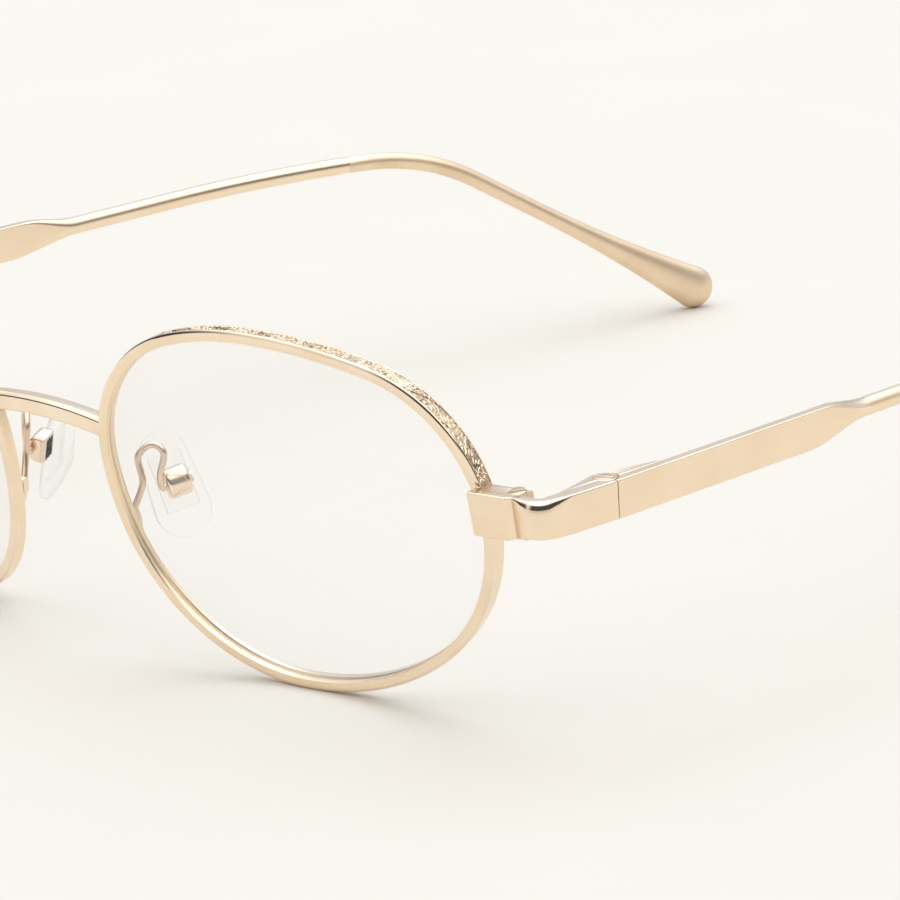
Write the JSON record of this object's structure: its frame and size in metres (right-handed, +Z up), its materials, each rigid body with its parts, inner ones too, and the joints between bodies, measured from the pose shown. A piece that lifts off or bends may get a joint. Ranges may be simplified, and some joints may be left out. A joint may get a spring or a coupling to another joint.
{
  "type": "full-rim metal eyeglass frame with adjustable nose pads",
  "caption": "Full-rim satin champagne gold metal eyeglass frame with oval lenses, block endpieces, screw hinges, rod temples with flared ends and clear nose pads",
  "frame": {"origin": "Centre of the rectangle that the open frame covers, on the surface that the rims and the temple tips stand on", "axes": "+X runs from the wearer's right to the wearer's left, +Y from the lenses back along the temples, +Z up"},
  "size_m": [0.139, 0.1516, 0.0427],
  "materials": {
    "frame_metal": "satin champagne gold plating",
    "tip_metal": "polished gold plating",
    "screw_metal": "polished gold plating",
    "lens": "clear, thin demonstration lens",
    "pad_silicone": "clear soft silicone",
    "pad_plate": "clear hard plastic core"
  },
  "bodies": {
    "front": {"bridge": "frame_metal", "left_rim": "frame_metal", "right_rim": "frame_metal", "left_rim_lock_upper": "frame_metal", "right_rim_lock_upper": "frame_metal", "left_rim_lock_lower": "frame_metal", "right_rim_lock_lower": "frame_metal", "left_endpiece": "frame_metal", "right_endpiece": "frame_metal", "left_hinge_front": "frame_metal", "right_hinge_front": "frame_metal", "left_pad_arm": "frame_metal", "right_pad_arm": "frame_metal", "left_pad_box": "frame_metal", "right_pad_box": "frame_metal", "left_lens": "lens", "right_lens": "lens", "left_rim_screw": "screw_metal", "right_rim_screw": "screw_metal", "left_hinge_screw": "screw_metal", "right_hinge_screw": "screw_metal", "left_pad_screw": "screw_metal", "right_pad_screw": "screw_metal"},
    "left_temple_arm": {"left_temple": "frame_metal", "left_temple_tip": "tip_metal", "left_hinge_rear": "frame_metal"},
    "right_temple_arm": {"right_temple": "frame_metal", "right_temple_tip": "tip_metal", "right_hinge_rear": "frame_metal"},
    "left_pad": {"left_nose_pad": "pad_silicone", "left_pad_insert": "pad_plate"},
    "right_pad": {"right_nose_pad": "pad_silicone", "right_pad_insert": "pad_plate"}
  },
  "joints": [
    {"name": "left_temple_fold", "type": "hinge", "parent": "front", "child": "left_temple_arm", "pos_m": [0.06738, -0.05466, 0.0263], "axis": [0, 0, 1], "range_deg": [0, 80]},
    {"name": "right_temple_fold", "type": "hinge", "parent": "front", "child": "right_temple_arm", "pos_m": [-0.06738, -0.05466, 0.0263], "axis": [0, 0, -1], "range_deg": [0, 72]},
    {"name": "left_pad_rock", "type": "hinge", "parent": "front", "child": "left_pad", "pos_m": [0.01165, -0.06613, 0.02048], "axis": [0.3691, 0.8995, 0.2337], "range_deg": [-8, 8]},
    {"name": "right_pad_rock", "type": "hinge", "parent": "front", "child": "right_pad", "pos_m": [-0.01165, -0.06613, 0.02048], "axis": [0.3691, -0.8995, -0.2337], "range_deg": [-8, 8]}
  ]
}
